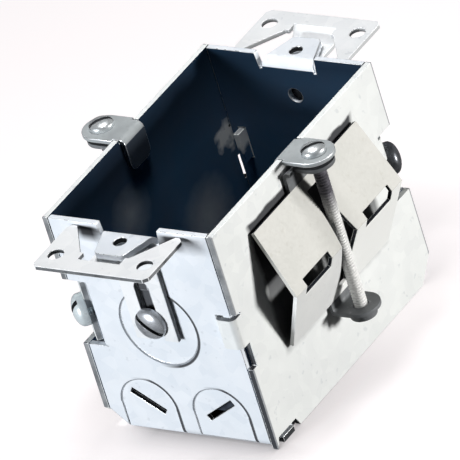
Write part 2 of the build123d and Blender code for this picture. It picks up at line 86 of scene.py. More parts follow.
# Small helpers for working by hand in object and edit mode
def pickNone():
    bpy.ops.object.select_all(action="DESELECT")


def pickOnly(obj):
    pickNone()
    obj.select_set(True)
    bpy.context.view_layer.objects.active = obj


def openEdit(obj, kind="FACE"):
    pickOnly(obj)
    bpy.ops.object.mode_set(mode="EDIT")
    bpy.ops.mesh.select_mode(type=kind)


def closeEdit():
    bpy.ops.object.mode_set(mode="OBJECT")


def pickFaces(obj, test):
    closeEdit()
    for face in obj.data.polygons:
        face.select = test(face)
    for part in (*obj.data.edges, *obj.data.vertices):
        part.select = False
    openEdit(obj)


def applyAll(obj):
    pickOnly(obj)
    for modifier in list(obj.modifiers):
        bpy.ops.object.modifier_apply(modifier=modifier.name)


def applyPlace(obj):
    pickOnly(obj)
    bpy.ops.object.transform_apply(location=True, rotation=True, scale=True)


def pushOut(move):
    bpy.ops.mesh.extrude_region_move(TRANSFORM_OT_translate={"value": move})


def newest(name):
    obj = bpy.context.active_object
    obj.name = name
    obj.data.name = name
    return obj


def within(value, band):
    return band[0] < value < band[1]


# Node tree helpers
def startLook(name):
    look = bpy.data.materials.new(name)
    look.use_nodes = True
    tree = look.node_tree
    shader = tree.nodes["Principled BSDF"]
    place = tree.nodes.new("ShaderNodeTexCoord").outputs["Object"]
    return look, tree, shader, place


def wire(tree, source, target):
    if hasattr(source, "links"):
        tree.links.new(source, target)
    else:
        target.default_value = source


def sums(tree, operation, first, second=0.0, clamp=False):
    node = tree.nodes.new("ShaderNodeMath")
    node.operation = operation
    node.use_clamp = clamp
    wire(tree, first, node.inputs[0])
    wire(tree, second, node.inputs[1])
    return node.outputs[0]


def chain(tree, operation, *values):
    result = values[0]
    for value in values[1:]:
        result = sums(tree, operation, result, value)
    return result


def product(tree, *factors):
    return chain(tree, "MULTIPLY", *factors)


def highest(tree, *values):
    return chain(tree, "MAXIMUM", *values)


def without(tree, mask):
    return sums(tree, "SUBTRACT", 1.0, mask)


def under(tree, value, limit):
    return sums(tree, "LESS_THAN", value, limit)


def over(tree, value, limit):
    return sums(tree, "GREATER_THAN", value, limit)


def awayFrom(tree, value, middle):
    return sums(tree, "ABSOLUTE", sums(tree, "SUBTRACT", value, middle))


def farOut(tree, sideways, upwards):
    squares = [sums(tree, "POWER", run, 2.0) for run in (sideways, upwards)]
    return sums(tree, "SQRT", sums(tree, "ADD", *squares))


def axes(tree, place):
    node = tree.nodes.new("ShaderNodeSeparateXYZ")
    tree.links.new(place, node.inputs["Vector"])
    return [node.outputs[axis] for axis in "XYZ"]


def axisSize(tree, place, axis):
    return sums(tree, "ABSOLUTE", axes(tree, place)["XYZ".index(axis)])


def spread(tree, value, low, high, lowOut=0.0, highOut=1.0):
    node = tree.nodes.new("ShaderNodeMapRange")
    wire(tree, value, node.inputs["Value"])
    node.inputs["From Min"].default_value = low
    node.inputs["From Max"].default_value = high
    node.inputs["To Min"].default_value = lowOut
    node.inputs["To Max"].default_value = highOut
    return node.outputs["Result"]


def mixTone(tree, amount, first, second):
    node = tree.nodes.new("ShaderNodeMix")
    node.data_type = "RGBA"
    wire(tree, amount, node.inputs["Factor"])
    wire(tree, first, node.inputs["A"])
    wire(tree, second, node.inputs["B"])
    return node.outputs["Result"]


def clouds(tree, place, scale, detail, rough=0.55):
    node = tree.nodes.new("ShaderNodeTexNoise")
    tree.links.new(place, node.inputs["Vector"])
    node.inputs["Scale"].default_value = scale
    node.inputs["Detail"].default_value = detail
    node.inputs["Roughness"].default_value = rough
    return node.outputs["Fac"]


def addBump(tree, shader, relief, strength, depth):
    node = tree.nodes.new("ShaderNodeBump")
    node.inputs["Strength"].default_value = strength
    node.inputs["Distance"].default_value = depth
    tree.links.new(relief, node.inputs["Height"])
    tree.links.new(node.outputs["Normal"], shader.inputs["Normal"])


# Galvanized sheet, with dark blue painted shade where a piece has an inside
galvanized = {
    "spangle": 300,  # crystals per metre
    "blotch": 55,
    "blotchBand": (0.35, 0.68),
    "grain": 900,
    "flakeShare": 0.45,  # how much the crystals and the blotches dull the tone
    "blotchShare": 0.55,
    "speck": 420,
    "speckBand": (0.66, 0.72),
    "speckMost": 0.25,
    "speckTone": (0.42, 0.46, 0.50, 1),
    "metal": 0.10,
    "gloss": 0.20,
    "rough": (0.44, 0.56),
    "grainRough": 0.1,
    "flakeRelief": 0.6,
    "bump": 0.18,
    "bumpDepth": 0.08 * mm,
    "paintedShade": (0.035, 0.036, 0.042, 1),
}
insideShade = {
    "tone": (0.046, 0.116, 0.215, 1),
    "warm": (0.070, 0.118, 0.200, 1),
    "dark": (0.002, 0.004, 0.009, 1),  # where the painted shade is darkest
    "back": (3 * mm, 14 * mm),
    "backShare": 0.05,
    "rim": (43 * mm, 61 * mm),
    "rimShare": 0.22,
    "rough": 0.4,  # added to the zinc's own
    "gloss": 0.05,
}


def insideShadeTone(tree, place, blotch):
    # painted shade, darker on the back and under the rim
    tone = mixTone(tree, blotch, insideShade["tone"], insideShade["warm"])
    height = axisSize(tree, place, "Z")
    onBack = spread(tree, height, *insideShade["back"], insideShade["backShare"], 1)
    underRim = spread(tree, height, *insideShade["rim"], 1, insideShade["rimShare"])
    return mixTone(tree, product(tree, onBack, underRim), insideShade["dark"], tone)


def galvanizedLook(name, pale, dull, paintedMarks=None, insideShadePart=None):
    g = galvanized
    look, tree, shader, place = startLook(name)
    crystal = tree.nodes.new("ShaderNodeTexVoronoi")
    tree.links.new(place, crystal.inputs["Vector"])
    crystal.inputs["Scale"].default_value = g["spangle"]
    flake = tree.nodes.new("ShaderNodeSeparateColor")
    tree.links.new(crystal.outputs["Color"], flake.inputs["Color"])
    blotch = spread(tree, clouds(tree, place, g["blotch"], detail=5), *g["blotchBand"])
    grain = clouds(tree, place, g["grain"], detail=3, rough=0.6)
    flakeShade = product(tree, flake.outputs["Red"], g["flakeShare"])
    shade = sums(tree, "ADD", flakeShade, product(tree, blotch, g["blotchShare"]), clamp=True)
    speck = clouds(tree, place, g["speck"], detail=2, rough=0.5)
    speck = spread(tree, speck, *g["speckBand"], 0, g["speckMost"])
    tone = mixTone(tree, speck, mixTone(tree, shade, pale, dull), g["speckTone"])
    # painted shade on the outside, where the look asks for it
    if paintedMarks:
        tone = paintedMarks(tree, place, tone)
    rough = spread(tree, flake.outputs["Green"], 0, 1, *g["rough"])
    rough = sums(tree, "ADD", rough, product(tree, grain, g["grainRough"]))
    # painted shade inside the box: dark blue, rougher and less shiny
    if insideShadePart:
        shadedInside = insideShadePart(tree, place)
        tone = mixTone(tree, shadedInside, tone, insideShadeTone(tree, place, blotch))
        rough = sums(tree, "ADD", rough, product(tree, shadedInside, insideShade["rough"]), clamp=True)
        tree.links.new(product(tree, without(tree, shadedInside), g["metal"]), shader.inputs["Metallic"])
        gloss = spread(tree, shadedInside, 0, 1, g["gloss"], insideShade["gloss"])
        tree.links.new(gloss, shader.inputs["Specular IOR Level"])
    else:
        shader.inputs["Metallic"].default_value = g["metal"]
        shader.inputs["Specular IOR Level"].default_value = g["gloss"]
    tree.links.new(tone, shader.inputs["Base Color"])
    tree.links.new(rough, shader.inputs["Roughness"])
    relief = sums(tree, "ADD", product(tree, crystal.outputs["Distance"], g["flakeRelief"]), grain)
    addBump(tree, shader, relief, g["bump"], g["bumpDepth"])
    return look


def hookCorner(tree, place):
    # the hooked corners lie on one diagonal of the box, the screwed ones on the other
    across, along = axes(tree, place)[:2]
    return under(tree, product(tree, across, along), 0.0)


# Where the painted shade inside the box ends
lugs = {
    "middle": 35.2 * mm,
    "half": 9.7 * mm,
    "outside": 55.2 * mm,  # across and along added up, past which a lug's face is its outer one
    "panelFrom": 30.4 * mm,
}
insideShadeEdge = {
    "rimGap": 0.1 * mm,
    "sideGap": 0.4 * mm,
    "panelDepth": 0.5 * mm,
    "pastEnd": 1.5 * mm,
    "tongue": 21.4 * mm,  # the hook's tongue stands further in than this
    "tongueTop": (34.5 * mm, 36.5 * mm),
    "ragged": 260,
    "raggedBand": (0.3, 0.7),
}
# Painted light, a bright spot by the hook and two faint reflections, where the panels' painted inside shade is
# taken away, in mm from the middle and up from the back
paintedLightSpots = (
    {"along": 34.2, "up": 38.6, "core": 2.0, "edge": 4.6, "amount": 1.0, "ragged": 2.0, "hooked": True},
    {"along": 19.0, "up": 24.0, "core": 0.0, "edge": 12.0, "amount": 0.42, "ragged": 0.6, "hooked": True},
    {"along": 8.5, "up": 43.5, "core": 0.0, "edge": 9.0, "amount": 0.34, "ragged": 0.6, "hooked": False},
)


def lugLevel(tree, place):
    # the height of the slanted lugs, at the screwed corners
    level = under(tree, awayFrom(tree, axisSize(tree, place, "Z"), lugs["middle"]), lugs["half"])
    return product(tree, level, without(tree, hookCorner(tree, place)))


def bodyInsideShade(tree, place):
    # painted shade on the faces inside the box
    across, length, height = (axisSize(tree, place, axis) for axis in "XYZ")
    shadedInside = product(
        tree,
        under(tree, length, endInner),
        under(tree, across, sideInner - insideShadeEdge["sideGap"]),
        over(tree, height, boxSheet - insideShadeEdge["rimGap"]),
        under(tree, height, rimTop - insideShadeEdge["rimGap"]),
    )
    # the outer faces of the slanted lugs get no painted shade
    outer = over(tree, sums(tree, "ADD", across, length), lugs["outside"])
    return product(tree, shadedInside, without(tree, product(tree, outer, lugLevel(tree, place))))


def panelInsideShade(tree, place):
    # painted shade on the panels' inner faces, with painted light spots taken out of it
    across, length, height = (axisSize(tree, place, axis) for axis in "XYZ")
    onLug = product(tree, over(tree, length, lugs["panelFrom"]), lugLevel(tree, place))
    shadedInside = product(
        tree,
        under(tree, across, sideInner),
        over(tree, across, sideInner - insideShadeEdge["panelDepth"]),
        under(tree, length, endInner + insideShadeEdge["pastEnd"]),
        without(tree, onLug),
    )
    # the lower part of the hook's tongue gets the painted shade too
    tongue = product(
        tree,
        under(tree, across, insideShadeEdge["tongue"]),
        under(tree, length, endInner),
        spread(tree, height, *insideShadeEdge["tongueTop"], 1, 0),
    )
    shadedInside = highest(tree, shadedInside, tongue)
    hooked = hookCorner(tree, place)
    ragged = clouds(tree, place, insideShadeEdge["ragged"], detail=2)
    ragged = spread(tree, ragged, *insideShadeEdge["raggedBand"], -mm, mm)
    # painted light: the inside shade is taken away at each spot
    for spot in paintedLightSpots:
        sideways = sums(tree, "SUBTRACT", length, spot["along"] * mm)
        upwards = sums(tree, "SUBTRACT", height, spot["up"] * mm)
        reach = sums(tree, "ADD", farOut(tree, sideways, upwards), product(tree, ragged, spot["ragged"]))
        paintedLight = spread(tree, reach, spot["core"] * mm, spot["edge"] * mm, spot["amount"], 0)
        half = hooked if spot["hooked"] else without(tree, hooked)
        shadedInside = product(tree, shadedInside, without(tree, product(tree, paintedLight, half)))
    return shadedInside


# Painted shade on the outside of the panels and end walls, and a dark line at the panels' ends: each pair of
# heights or lengths is where a mark fades
panelMarks = {
    "face": 0.5 * mm,  # past the inner face, so on the outside alone
    "ragged": 160,
    "raggedReach": 1.2 * mm,
    "shadeSides": (23.5 * mm, 25.2 * mm),
    "shadeTop": (56.9 * mm, 57.6 * mm),
    "shadeFoot": (18 * mm, 22 * mm),
    "shadeRise": (30 * mm, 42 * mm),
    "shadeShare": (0.72, 0.97),  # behind the lower and the upper legs
    "line": (37.55 * mm, 37.75 * mm),
    "lineEnd": 38.2 * mm,
    "lineTone": (0.34, 0.35, 0.37, 1),
    "hookMiddle": 35.25 * mm,
    "hookHalf": 4.3 * mm,
}
wallMarks = {
    "face": 1 * mm,
    "lineOut": 0.50 * mm,
    "lineWidth": (0.35 * mm, 0.60 * mm),
    "lineSide": (-3 * mm, 3 * mm),
    "ringHeight": 33.5 * mm,
    "ringRadius": 11.1 * mm,
    "archAside": 10.9 * mm,
    "archHeight": 8 * mm,
    "archRadius": 8.1 * mm,
    "archTop": (16.5 * mm, 17 * mm),
    "slotSide": (2.0 * mm, 2.3 * mm),
    "slotMiddle": (0.3 * mm, 0.8 * mm),
    "slotFoot": (33 * mm, 35 * mm),
    "slotTop": (50 * mm, 52 * mm),
    "cornerAside": 12.6 * mm,
    "cornerSide": (1.5 * mm, 3.8 * mm),
    "cornerFoot": (57.6 * mm, 60 * mm),
    "cornerTop": (62 * mm, 62.7 * mm),
    "share": 0.95,
}


def panelShadeAndLine(tree, place, tone):
    # painted shade behind the grip and in a band above its legs' top edges, and a dark line down both ends
    marks = panelMarks
    outside = over(tree, axisSize(tree, place, "X"), sideInner + marks["face"])
    reach = marks["raggedReach"]
    ragged = spread(tree, clouds(tree, place, marks["ragged"], detail=3), 0, 1, -reach, reach)
    length, height = (sums(tree, "ADD", axisSize(tree, place, axis), ragged) for axis in "YZ")
    paintedShade = product(
        tree,
        outside,
        spread(tree, length, *marks["shadeSides"], 1, 0),
        spread(tree, height, *marks["shadeTop"], 1, 0),
        spread(tree, height, *marks["shadeFoot"]),
        spread(tree, height, *marks["shadeRise"], *marks["shadeShare"]),
    )
    tone = mixTone(tree, paintedShade, tone, galvanized["paintedShade"])
    length, height = (axisSize(tree, place, axis) for axis in "YZ")
    onHook = under(tree, awayFrom(tree, height, marks["hookMiddle"]), marks["hookHalf"])
    onHook = product(tree, onHook, hookCorner(tree, place))
    line = product(
        tree,
        outside,
        spread(tree, length, *marks["line"]),
        under(tree, length, marks["lineEnd"]),
        without(tree, onHook),
    )
    return mixTone(tree, line, tone, marks["lineTone"])


def wallPaintedShade(tree, place, tone):
    # painted shade: a dark line round the shaded side of each sheared shape, dark in the ear's slot and under its
    # corners
    marks = wallMarks
    across, along, height = axes(tree, place)
    onEnd = over(tree, sums(tree, "ABSOLUTE", along), endInner + marks["face"])
    right = product(tree, across, sums(tree, "SIGN", along), -1.0)  # seen from outside
    aside = sums(tree, "ABSOLUTE", across)

    def line(sideways, upwards, radius):
        gap = awayFrom(tree, farOut(tree, sideways, upwards), radius + marks["lineOut"])
        oneSide = spread(tree, sideways, *marks["lineSide"])
        return product(tree, spread(tree, gap, *marks["lineWidth"], 1, 0), oneSide)

    ring = line(right, sums(tree, "SUBTRACT", height, marks["ringHeight"]), marks["ringRadius"])
    archSide = product(tree, sums(tree, "SIGN", right), marks["archAside"])
    archSide = sums(tree, "SUBTRACT", right, archSide)
    archRise = highest(tree, sums(tree, "SUBTRACT", height, marks["archHeight"]), 0.0)
    arch = line(archSide, archRise, marks["archRadius"])
    arch = product(tree, arch, spread(tree, height, *marks["archTop"], 1, 0))
    slot = product(
        tree,
        spread(tree, aside, *marks["slotSide"], 1, 0),
        spread(tree, right, *marks["slotMiddle"], 1, 0),
        spread(tree, height, *marks["slotFoot"]),
        spread(tree, height, *marks["slotTop"], 1, 0),
    )
    corner = product(
        tree,
        spread(tree, awayFrom(tree, aside, marks["cornerAside"]), *marks["cornerSide"], 1, 0),
        spread(tree, height, *marks["cornerFoot"]),
        spread(tree, height, *marks["cornerTop"], 1, 0),
    )
    dark = product(tree, highest(tree, ring, arch, slot, corner), onEnd, marks["share"])
    return mixTone(tree, dark, tone, galvanized["paintedShade"])


# Plated sheet of the grips, zinc of the screws and of cut edges, and dark looks for painted shade
plated = {
    "blotch": 70,
    "blotchBand": (0.32, 0.7),
    "flecks": 650,
    "fleckBand": (0.62, 0.74),
    "fleckMost": 0.22,
    "metal": 0.08,
    "gloss": 0.30,
    "fine": 1400,
    "fineBand": (0.3, 0.7),
    "rough": (0.50, 0.66),
    "bump": 0.2,
    "bumpDepth": 0.06 * mm,
}
screwZinc = {
    "wear": 380,
    "wearBand": (0.4, 0.66),
    "metal": 0.75,
    "rough": (0.26, 0.46),
    "fine": 1800,
    "bump": 0.15,
    "bumpDepth": 0.04 * mm,
}
paintedShadeFinish = {
    "patch": 300,
    "patchBand": (0.36, 0.66),
    "gloss": 0.2,
    "rough": (0.6, 0.8),
    "fine": 1500,
    "bump": 0.25,
    "bumpDepth": 0.05 * mm,
}


def platedLook(name, pale, dull, fleck, mask=None, masked=None):
    g = plated
    look, tree, shader, place = startLook(name)
    blotch = spread(tree, clouds(tree, place, g["blotch"], detail=5), *g["blotchBand"])
    fine = clouds(tree, place, g["fine"], detail=3, rough=0.65)
    spots = clouds(tree, place, g["flecks"], detail=2, rough=0.5)
    spots = spread(tree, spots, *g["fleckBand"], 0, g["fleckMost"])
    tone = mixTone(tree, spots, mixTone(tree, blotch, pale, dull), fleck)
    if mask:
        tone = mixTone(tree, mask(tree, place), tone, masked)
    tree.links.new(tone, shader.inputs["Base Color"])
    shader.inputs["Metallic"].default_value = g["metal"]
    shader.inputs["Specular IOR Level"].default_value = g["gloss"]
    tree.links.new(spread(tree, fine, *g["fineBand"], *g["rough"]), shader.inputs["Roughness"])
    addBump(tree, shader, fine, g["bump"], g["bumpDepth"])
    return look


def screwLook(name, bright, worn, mask=None, masked=None, metal=screwZinc["metal"]):
    g = screwZinc
    look, tree, shader, place = startLook(name)
    wear = spread(tree, clouds(tree, place, g["wear"], detail=4), *g["wearBand"])
    tone = mixTone(tree, wear, bright, worn)
    if mask:
        tone = mixTone(tree, mask(tree, place), tone, masked)
    tree.links.new(tone, shader.inputs["Base Color"])
    shader.inputs["Metallic"].default_value = metal
    tree.links.new(spread(tree, wear, 0, 1, *g["rough"]), shader.inputs["Roughness"])
    addBump(tree, shader, clouds(tree, place, g["fine"], detail=2), g["bump"], g["bumpDepth"])
    return look


# dark mottled looks that paint shade on slots, gaps, edges and hidden faces
def paintedShadeLook(name, pale, dark, mask=None, masked=None):
    g = paintedShadeFinish
    look, tree, shader, place = startLook(name)
    paintedShade = spread(tree, clouds(tree, place, g["patch"], detail=4), *g["patchBand"])
    tone = mixTone(tree, paintedShade, pale, dark)
    if mask:
        tone = mixTone(tree, mask(tree, place), tone, masked)
    tree.links.new(tone, shader.inputs["Base Color"])
    shader.inputs["Specular IOR Level"].default_value = g["gloss"]
    tree.links.new(spread(tree, paintedShade, 0, 1, *g["rough"]), shader.inputs["Roughness"])
    addBump(tree, shader, clouds(tree, place, g["fine"], detail=3), g["bump"], g["bumpDepth"])
    return look


# Where a look's tone changes on one piece, as painted light or shade
toneChange = {
    "farHalf": (-1 * mm, 1 * mm),
    "farMost": 0.8,
    "strapInsideShade": 25.3 * mm,
    "strapBelow": 61.9 * mm,
    "thread": (52 * mm, 45 * mm),
    "hookEnd": (38 * mm, 26 * mm),
}


def farHalf(tree, place):
    # painted light: the far one of the two lower legs and the far ear's edges are painted paler
    return spread(tree, axes(tree, place)[1], *toneChange["farHalf"], 0, toneChange["farMost"])


def strapInsideShade(tree, place):
    # painted shade: the strap's leg inside the box is painted as dark as the box's inside
    inside = under(tree, axisSize(tree, place, "X"), toneChange["strapInsideShade"])
    return product(tree, inside, under(tree, axisSize(tree, place, "Z"), toneChange["strapBelow"]))


def lowerThreadPaintedLight(tree, place):
    # painted light and shade: the thread is painted bright where it runs through the lower legs and dark above, as
    # shade under the collar
    return spread(tree, axisSize(tree, place, "Z"), *toneChange["thread"])


def lowHookShade(tree, place):
    # painted shade: a panel's cut end is painted darkest below the hook
    low = spread(tree, axisSize(tree, place, "Z"), *toneChange["hookEnd"])
    return product(tree, low, hookCorner(tree, place))


looks = {
    "body": galvanizedLook(
        "palezinc_body", (0.84, 0.87, 0.91, 1), (0.72, 0.77, 0.83, 1), wallPaintedShade, bodyInsideShade
    ),
    "panel": galvanizedLook(
        "palezinc_panel", (0.88, 0.90, 0.89, 1), (0.78, 0.80, 0.80, 1), panelShadeAndLine, panelInsideShade
    ),
    "ear": galvanizedLook("whitezinc_ear", (0.88, 0.89, 0.90, 1), (0.76, 0.78, 0.80, 1)),
    "grip": platedLook(
        "cream_grip", (0.57, 0.565, 0.535, 1), (0.52, 0.52, 0.49, 1), (0.38, 0.36, 0.30, 1)
    ),
    # painted light: the lower legs, one sheet with the upper ones, are painted paler
    "gripPaintedLight": platedLook(
        "grip_painted_light", (0.82, 0.83, 0.82, 1), (0.74, 0.75, 0.75, 1), (0.55, 0.55, 0.53, 1),
        farHalf, (0.97, 0.98, 0.96, 1),
    ),
    # painted shade on the collar under the tab and on the foot under the legs
    "collar": platedLook(
        "collar_painted_shade", (0.20, 0.21, 0.22, 1), (0.07, 0.075, 0.08, 1), (0.45, 0.47, 0.47, 1)
    ),
    "foot": platedLook("foot_painted_shade", (0.20, 0.21, 0.22, 1), (0.08, 0.085, 0.09, 1), (0.50, 0.51, 0.51, 1)),
    "strap": platedLook(
        "grey_strap", (0.44, 0.47, 0.48, 1), (0.26, 0.28, 0.29, 1), (0.20, 0.21, 0.21, 1),
        strapInsideShade, (0.030, 0.042, 0.062, 1),
    ),
    "gripShade": paintedShadeLook("dark_grip_back", (0.030, 0.034, 0.045, 1), (0.014, 0.016, 0.022, 1)),
    # painted shade along the ears' cut edges, paler on the far ear
    "rim": paintedShadeLook(
        "cut_edge_painted_shade", (0.20, 0.21, 0.22, 1), (0.09, 0.095, 0.10, 1), farHalf, (0.62, 0.63, 0.64, 1)
    ),
    # painted shade on the panels' cut ends
    "panelEnd": paintedShadeLook(
        "panel_cut_end_painted_shade", (0.30, 0.31, 0.32, 1), (0.16, 0.17, 0.18, 1), lowHookShade, (0.045, 0.048, 0.055, 1)
    ),
    # painted shade in the sheared gap round the recesses
    "shear": paintedShadeLook("shear_line_painted_shade", (0.42, 0.45, 0.49, 1), (0.28, 0.30, 0.33, 1)),
    # painted shade in slots, holes and gaps
    "slotDirt": paintedShadeLook("slot_dirt", (0.035, 0.038, 0.042, 1), (0.015, 0.016, 0.018, 1)),
    # painted shade: the clamps inside the box are painted dark
    "clamp": paintedShadeLook("clamp_painted_shade", (0.045, 0.055, 0.075, 1), (0.02, 0.025, 0.035, 1)),
    "edge": screwLook("sheared_edge", (0.86, 0.88, 0.90, 1), (0.70, 0.72, 0.74, 1)),
    "screw": screwLook("screw_zinc", (0.74, 0.77, 0.78, 1), (0.42, 0.45, 0.47, 1)),
    # lit and shaded copies of the corner screws: painted shade for the far one, painted light for the near one
    "screwPaintedShade": screwLook("screw_painted_shade", (0.17, 0.18, 0.20, 1), (0.035, 0.038, 0.042, 1)),
    "screwGrey": screwLook("grey_screw", (0.52, 0.54, 0.57, 1), (0.24, 0.25, 0.27, 1), metal=0.5),
    "screwPaintedLight": screwLook("screw_painted_light", (0.80, 0.87, 0.89, 1), (0.62, 0.69, 0.72, 1), metal=0.2),
    "screwLong": screwLook(
        "long_screw_painted_shade_and_light", (0.20, 0.19, 0.22, 1), (0.07, 0.07, 0.08, 1), lowerThreadPaintedLight, (0.97, 0.97, 0.96, 1), 0.1
    ),
}
print("finishes:", len(looks))

# Sheet pieces: merged copies of the solids with their sheared edges broken
sheetEdge = {
    "weld": 0.03 * mm,
    "flat": math.radians(0.5),
    "sharp": math.radians(35),
    "width": 0.15 * mm,
    "steps": 2,
    "smooth": math.radians(40),
    "shearWidth": 0.30 * mm,
    "foldReach": 0.12 * mm,  # edges this near a fold stay sharp, because the sheet goes on there
}


def breakEdges(piece, width, steps, finish, test):
    mesh = piece.data
    openEdit(piece, "EDGE")
    bpy.ops.mesh.select_all(action="DESELECT")
    bpy.ops.mesh.edges_select_sharp(sharpness=sheetEdge["sharp"])
    closeEdit()
    facesOf = {}
    for face in mesh.polygons:
        for key in face.edge_keys:
            facesOf.setdefault(key, []).append(face)
    picked = []
    for edge in mesh.edges:
        points = [mesh.vertices[i].co for i in edge.vertices]
        if edge.select and test(points, facesOf[edge.key]):
            picked.append(edge)
    for part in (*mesh.polygons, *mesh.edges, *mesh.vertices):
        part.select = False
    for edge in picked:
        edge.select = True
        for i in edge.vertices:
            mesh.vertices[i].select = True
    openEdit(piece, "EDGE")
    bpy.ops.mesh.bevel(offset=width, segments=steps, clamp_overlap=False, material=finish)
    closeEdit()


def dressSheet(name, finishes, paint=None, keepSharp=None, shearLine=None):
    # finishes: the sheet's own, its broken edges', then those that paint and shearLine ask for
    piece = bpy.data.objects.new(name + "_sheet", nodes[name].data.copy())
    bpy.context.scene.collection.objects.link(piece)
    piece.data.materials.clear()
    for finish in finishes:
        piece.data.materials.append(looks[finish])
    openEdit(piece)
    bpy.ops.mesh.customdata_custom_splitnormals_clear()
    bpy.ops.mesh.select_all(action="SELECT")
    bpy.ops.mesh.remove_doubles(threshold=sheetEdge["weld"])
    bpy.ops.mesh.dissolve_limited(angle_limit=sheetEdge["flat"])
    closeEdit()
    for face in piece.data.polygons:
        painted = paint(face) if paint else None
        face.material_index = finishes.index(painted) if painted else 0
    if shearLine:
        shear = finishes.index("shear")
        breakEdges(piece, sheetEdge["shearWidth"], 1, shear, shearLine)

    def plainEdge(points, faces):
        folded = keepSharp and all(keepSharp(point) for point in points)
        sheared = shearLine and any(face.material_index == shear for face in faces)
        return not folded and not sheared

    breakEdges(piece, sheetEdge["width"], sheetEdge["steps"], 1, plainEdge)
    pickOnly(piece)
    bpy.ops.object.shade_smooth_by_angle(angle=sheetEdge["smooth"])
    weight = piece.modifiers.new("flat faces", "WEIGHTED_NORMAL")
    weight.keep_sharp = True
    applyAll(piece)
    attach(piece, bodyOf[name])
    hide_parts(name)


# Faces of the sheets that get painted shade, found by their place and by how far they face an axis
turned = {"across": 0.3, "half": 0.5, "along": 0.7, "straight": 0.9, "flat": 0.99}
bodyCuts = {
    "slotAside": (4 * mm, 18 * mm),
    "slotHeight": (4 * mm, 15 * mm),
    "slotDeep": 0.5 * mm,
    "tabTop": 3 * mm,
    "tabAside": 23.65 * mm,
    "hookHeight": (23.5 * mm, 31.5 * mm),
    "hookAside": 23.4 * mm,
    "hole": 41.65 * mm,  # device hole, from the middle of the box
    "holeReach": 1.9 * mm,
    "holeAbove": 59 * mm,
    "shearAside": 19.2 * mm,
    "shearHeight": (2.7 * mm, 45 * mm),
    "shearDeep": 0.3 * mm,
    "onFace": 0.02 * mm,
}
panelCuts = {
    "hook": (30.9 * mm, 39.6 * mm),
    "end": (37 * mm, endFace + 0.1 * mm),
    "slits": ((23.8 * mm, 31.1 * mm), (39.4 * mm, 40.4 * mm)),
    "slitRun": (35.9 * mm, 38.3 * mm),
    "notchTop": 3 * mm,
    "notchRun": (24 * mm, 37.8 * mm),
    "hookTop": (39.3 * mm, 39.7 * mm),
    "hookFrom": 38 * mm,
}
earCuts = {"shankTop": 57 * mm, "plate": 60.8 * mm}
legCuts = {"slotRun": (8 * mm, 21 * mm), "slotHalf": 4 * mm, "screwRun": 5 * mm}


def paintBody(face):
    # painted shade on the walls of the pry-outs' slots and of the device holes, on the locating tabs and on the
    # edges behind the hooks
    cuts = bodyCuts
    across, along, height = abs(face.center.x), abs(face.center.y), face.center.z
    inSheet = endInner < along < endFace - cuts["slotDeep"] and abs(face.normal.y) < turned["across"]
    slot = inSheet and within(across, cuts["slotAside"]) and within(height, cuts["slotHeight"])
    tab = height < cuts["tabTop"] and across > cuts["tabAside"]
    atHook = face.center.x * face.center.y < 0 and within(height, cuts["hookHeight"])
    edge = atHook and across > cuts["hookAside"] and abs(face.normal.x) > turned["along"]
    inHole = math.hypot(across, along - cuts["hole"]) < cuts["holeReach"]
    bore = inHole and height > cuts["holeAbove"] and abs(face.normal.z) < turned["half"]
    return "slotDirt" if slot or tab or edge or bore else None


def knockoutEdge(points, faces):
    # the outer edges of the shallow recesses in the end walls
    cuts = bodyCuts
    for point in points:
        onFace = abs(abs(point.y) - endFace) < cuts["onFace"]
        if not onFace or abs(point.x) >= cuts["shearAside"] or not within(point.z, cuts["shearHeight"]):
            return False
    deepest = endFace - cuts["shearDeep"]
    return any(abs(face.normal.y) < turned["across"] and abs(face.center.y) > deepest for face in faces)


def paintPanel(face):
    # painted shade on the cut ends, the reliefs beside the hook, its top and the locating notch
    cuts = panelCuts
    length, height = abs(face.center.y), face.center.z
    atHook = face.center.x * face.center.y < 0
    onHook = atHook and within(height, cuts["hook"])
    cutEnd = within(length, cuts["end"]) and abs(face.normal.y) > turned["along"] and not onHook
    relief = within(length, cuts["slitRun"]) and any(within(height, slit) for slit in cuts["slits"])
    inNotch = height < cuts["notchTop"] and within(length, cuts["notchRun"])
    notch = inNotch and abs(face.normal.z) < turned["flat"]
    atTop = within(height, cuts["hookTop"]) and length > cuts["hookFrom"]
    hookTop = atTop and face.normal.z > turned["straight"]
    cut = atHook and (relief or notch or hookTop) and abs(face.normal.x) < turned["half"]
    return "panelEnd" if cutEnd or cut else None


def paintEar(face):
    # painted shade on the side towards the wall and on the cut edges
    towardsWall = face.normal.y * face.center.y < 0 and abs(face.normal.y) > turned["along"]
    if towardsWall and face.center.z < earCuts["shankTop"]:
        return "slotDirt"
    plateEdge = face.center.z > earCuts["plate"] and abs(face.normal.z) < turned["half"]
    return "rim" if abs(face.normal.x) > turned["along"] or plateEdge else None


def paintLegs(side, rise):
    # the side towards the box, the edges at the end fold and beside the screw and the fold's slots stay dark
    out = Vector((sides[side] * math.cos(legLean), 0, rise * math.sin(legLean)))
    end = Vector((-sides[side] * math.sin(legLean), 0, rise * math.cos(legLean)))
    fold = jointOf[side + "_grip_middle_fold"]["pos_m"][2]

    def paint(face):
        length, outwards = abs(face.center.y), face.normal.dot(out)
        inSlot = within(length, legCuts["slotRun"]) and abs(face.center.z - fold) < legCuts["slotHalf"]
        slotWall = inSlot and abs(outwards) < turned["half"]
        besideScrew = length < legCuts["screwRun"] and abs(face.normal.y) > turned["along"]
        hidden = outwards < -turned["half"] or face.normal.dot(end) > turned["along"]
        return "gripShade" if hidden or besideScrew or slotWall else None

    return paint


def nearFold(side):
    names = [side + "_grip_" + fold for fold in ("top_fold", "middle_fold", "foot_fold")]
    folds = [jointOf[name]["pos_m"][2] for name in names]
    return lambda place: any(abs(place.z - height) < sheetEdge["foldReach"] for height in folds)


